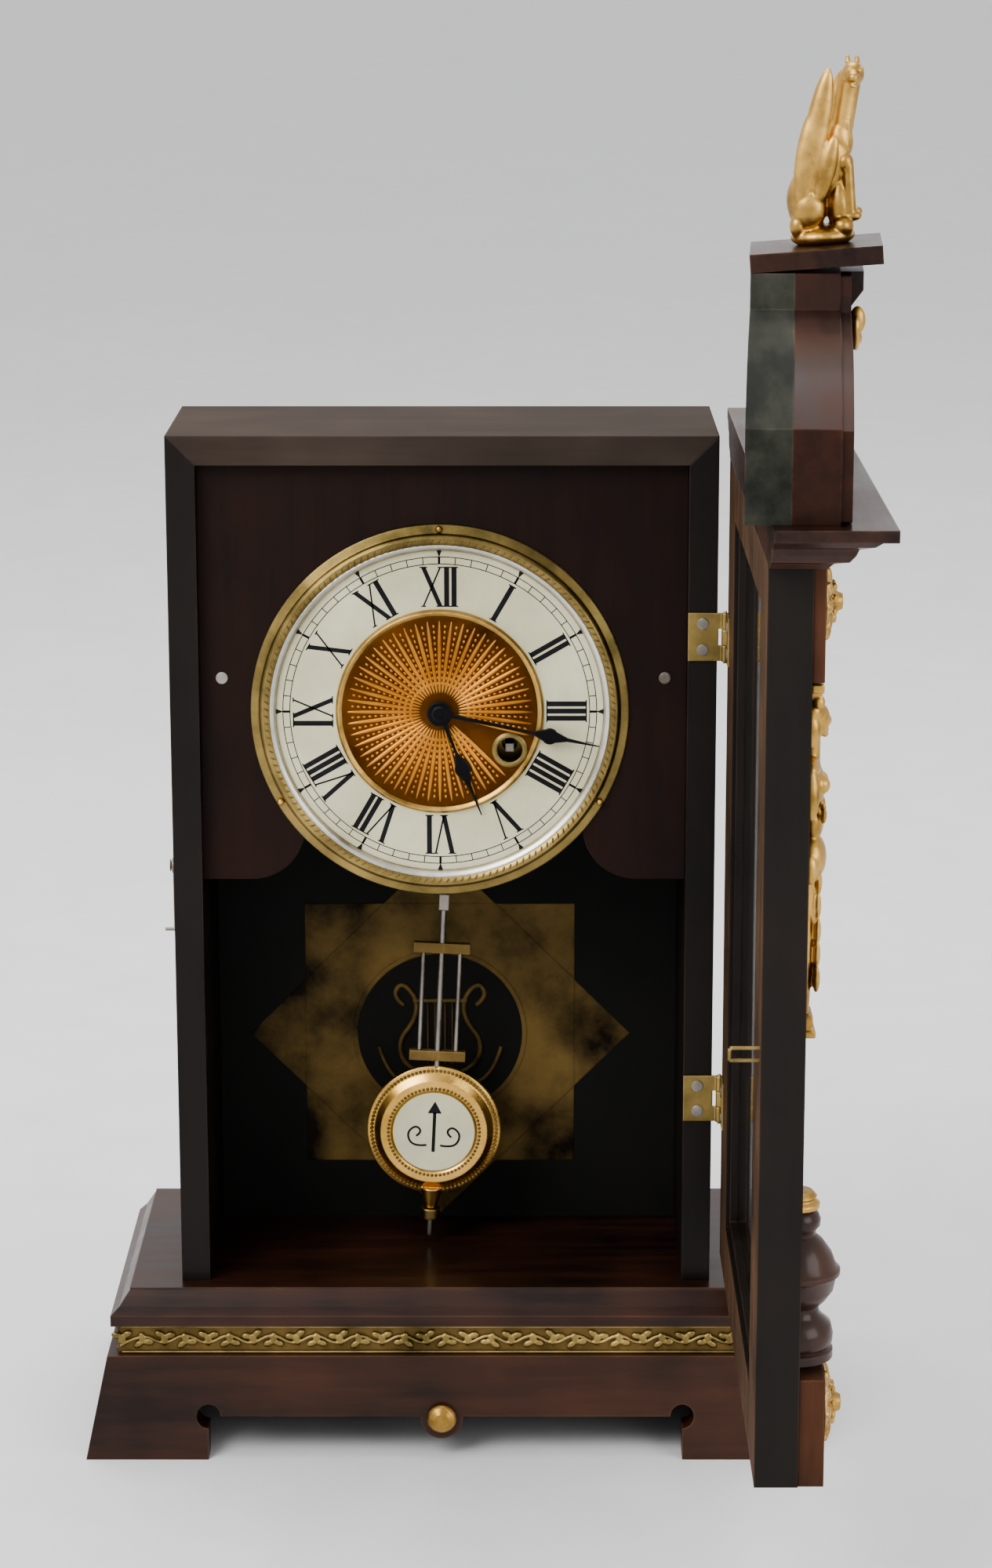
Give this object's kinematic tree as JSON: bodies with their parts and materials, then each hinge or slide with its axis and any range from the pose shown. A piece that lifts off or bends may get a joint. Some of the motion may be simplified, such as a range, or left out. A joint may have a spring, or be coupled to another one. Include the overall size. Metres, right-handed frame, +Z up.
{
  "type": "mantel clock",
  "caption": "Mantel clock with an open glazed door, gilt figures and crest, round dial, spring movement and swinging rod pendulum in a plain dark case on a plinth",
  "frame": {"origin": "centre of the plinth's footprint on the surface it stands on", "axes": "+Z up, +X to the viewer's right, front faces -Y"},
  "size_m": [0.3195, 0.3841, 0.5916],
  "materials": {
    "walnut": "dark polished walnut, worn at the arrises",
    "ebonised": "black stain with rubbed edges",
    "mahogany": "vertical grain, dull",
    "gilt": "pale gold castings",
    "brass": "movement brass",
    "steel": "plain steel",
    "cream": "cream enamel paint",
    "copper": "coppery gilt sunburst",
    "blued": "blued black",
    "glass": "clear pane"
  },
  "bodies": {
    "case": {"plinth_front": "walnut", "plinth_boards": "walnut", "plinth_frieze": "walnut", "plinth_top": "walnut", "case_sides": "ebonised", "case_top": "ebonised", "back_board": "ebonised", "dial_board": "mahogany", "dial_battens": "mahogany", "plinth_band": "gilt", "bezel": "gilt", "bezel_pins": "gilt", "centre_ring": "gilt", "winding_grommet": "gilt", "hinge_case_leaves": "gilt", "plinth_knob": "gilt", "movement_plates": "brass", "movement_pillars": "brass", "suspension_cock": "brass", "mainspring": "steel", "case_screws": "steel", "chapter_ring": "cream", "dial_centre": "copper"},
    "door": {"door_stiles": "ebonised", "door_rails": "walnut", "glass_pane": "glass", "glass_beads": "ebonised", "cornice": "walnut", "staple": "steel", "hinge_door_leaves": "gilt", "door_screws": "steel", "stile_blocks": "walnut", "rosettes": "gilt", "caryatids": "gilt", "balusters": "ebonised", "pediment_backing": "mahogany", "pediment_block": "walnut", "keystone": "walnut", "tympanum_ornament": "gilt", "pediment_cap": "walnut", "finial": "gilt"},
    "hook": {"door_hook": "steel"},
    "pendulum": {"suspension_rod": "steel", "pendulum_rods": "brass", "pendulum_crosspieces": "brass"},
    "bob": {"bob_shell": "gilt", "bob_disc": "cream"},
    "nut": {"rating_nut": "brass"},
    "anchor_body": {"anchor": "steel"},
    "minute": {"minute_hand": "blued", "cannon_pinion": "brass"},
    "minute_wheel_body": {"minute_wheel": "brass"},
    "hour": {"hour_hand": "blued", "hour_wheel": "brass"},
    "escape": {"escape_wheel": "brass"},
    "third": {"third_wheel": "brass"},
    "centre": {"centre_wheel": "brass"},
    "great": {"great_wheel": "brass"},
    "winding": {"winding_arbor": "steel"},
    "click_body": {"click": "steel"}
  },
  "joints": [
    {"name": "door_swing", "type": "hinge", "parent": "case", "child": "door", "pos_m": [0.1156, -0.047, 0.25], "axis": [0, 0, 1], "range_deg": [-90, 5]},
    {"name": "hook_swing", "type": "hinge", "parent": "case", "child": "hook", "pos_m": [-0.1147, -0.0165, 0.2463], "axis": [-1, 0, 0], "range_deg": [-40, 95]},
    {"name": "pendulum_swing", "type": "hinge", "parent": "case", "child": "pendulum", "pos_m": [0.0057, 0.0015, 0.3647], "axis": [0, -1, 0], "range_deg": [-2.3, 7.7]},
    {"name": "anchor_rock", "type": "hinge", "parent": "case", "child": "anchor_body", "pos_m": [0.0057, 0.0015, 0.3647], "axis": [0, -1, 0], "range_deg": [-2.3, 7.7]},
    {"name": "bob_slide", "type": "slide", "parent": "pendulum", "child": "bob", "axis": [0.0471, 0, 0.9989], "range_m": [-0.002, 0.002]},
    {"name": "nut_turn", "type": "hinge", "parent": "bob", "child": "nut", "pos_m": [-0.00752, 0.0015, 0.08431], "axis": [0.0471, 0, 0.9989], "range_deg": [-1035, 1035]},
    {"name": "minute_hand_turn", "type": "hinge", "parent": "case", "child": "minute", "pos_m": [-0.0015, -0.0455, 0.3184], "axis": [0, 1, 0], "continuous": true},
    {"name": "minute_wheel_turn", "type": "hinge", "parent": "case", "child": "minute_wheel_body", "pos_m": [0.0105, -0.0455, 0.3184], "axis": [0, 1, 0], "continuous": true},
    {"name": "hour_hand_turn", "type": "hinge", "parent": "case", "child": "hour", "pos_m": [-0.0015, -0.0455, 0.3184], "axis": [0, 1, 0], "continuous": true},
    {"name": "escape_turn", "type": "hinge", "parent": "case", "child": "escape", "pos_m": [-0.00056, -0.0455, 0.34927], "axis": [0, 1, 0], "continuous": true},
    {"name": "third_turn", "type": "hinge", "parent": "case", "child": "third", "pos_m": [-0.0132, -0.0455, 0.33866], "axis": [0, 1, 0], "continuous": true},
    {"name": "centre_turn", "type": "hinge", "parent": "case", "child": "centre", "pos_m": [-0.0015, -0.0455, 0.3184], "axis": [0, 1, 0], "continuous": true},
    {"name": "great_wheel_turn", "type": "hinge", "parent": "case", "child": "great", "pos_m": [0.0274, -0.0455, 0.3024], "axis": [0, 1, 0], "continuous": true},
    {"name": "winding_turn", "type": "hinge", "parent": "case", "child": "winding", "pos_m": [0.0274, -0.0455, 0.3024], "axis": [0, 1, 0], "continuous": true},
    {"name": "click_pivot", "type": "hinge", "parent": "great", "child": "click_body", "pos_m": [0.0274, -0.0455, 0.3169], "axis": [0, -1, 0], "range_deg": [0, 12], "stiffness_Nm_per_rad": 0.0001}
  ],
  "couplings": [
    {"joint": "anchor_rock", "follows": "pendulum_swing", "ratio": 1},
    {"joint": "nut_turn", "follows": "bob_slide", "rad_per_m": 8976},
    {"joint": "minute_wheel_turn", "follows": "minute_hand_turn", "ratio": -0.33333},
    {"joint": "hour_hand_turn", "follows": "minute_hand_turn", "ratio": 0.083333},
    {"joint": "third_turn", "follows": "escape_turn", "ratio": -0.1},
    {"joint": "centre_turn", "follows": "escape_turn", "ratio": 0.0083333},
    {"joint": "great_wheel_turn", "follows": "escape_turn", "ratio": -0.0010417}
  ]
}
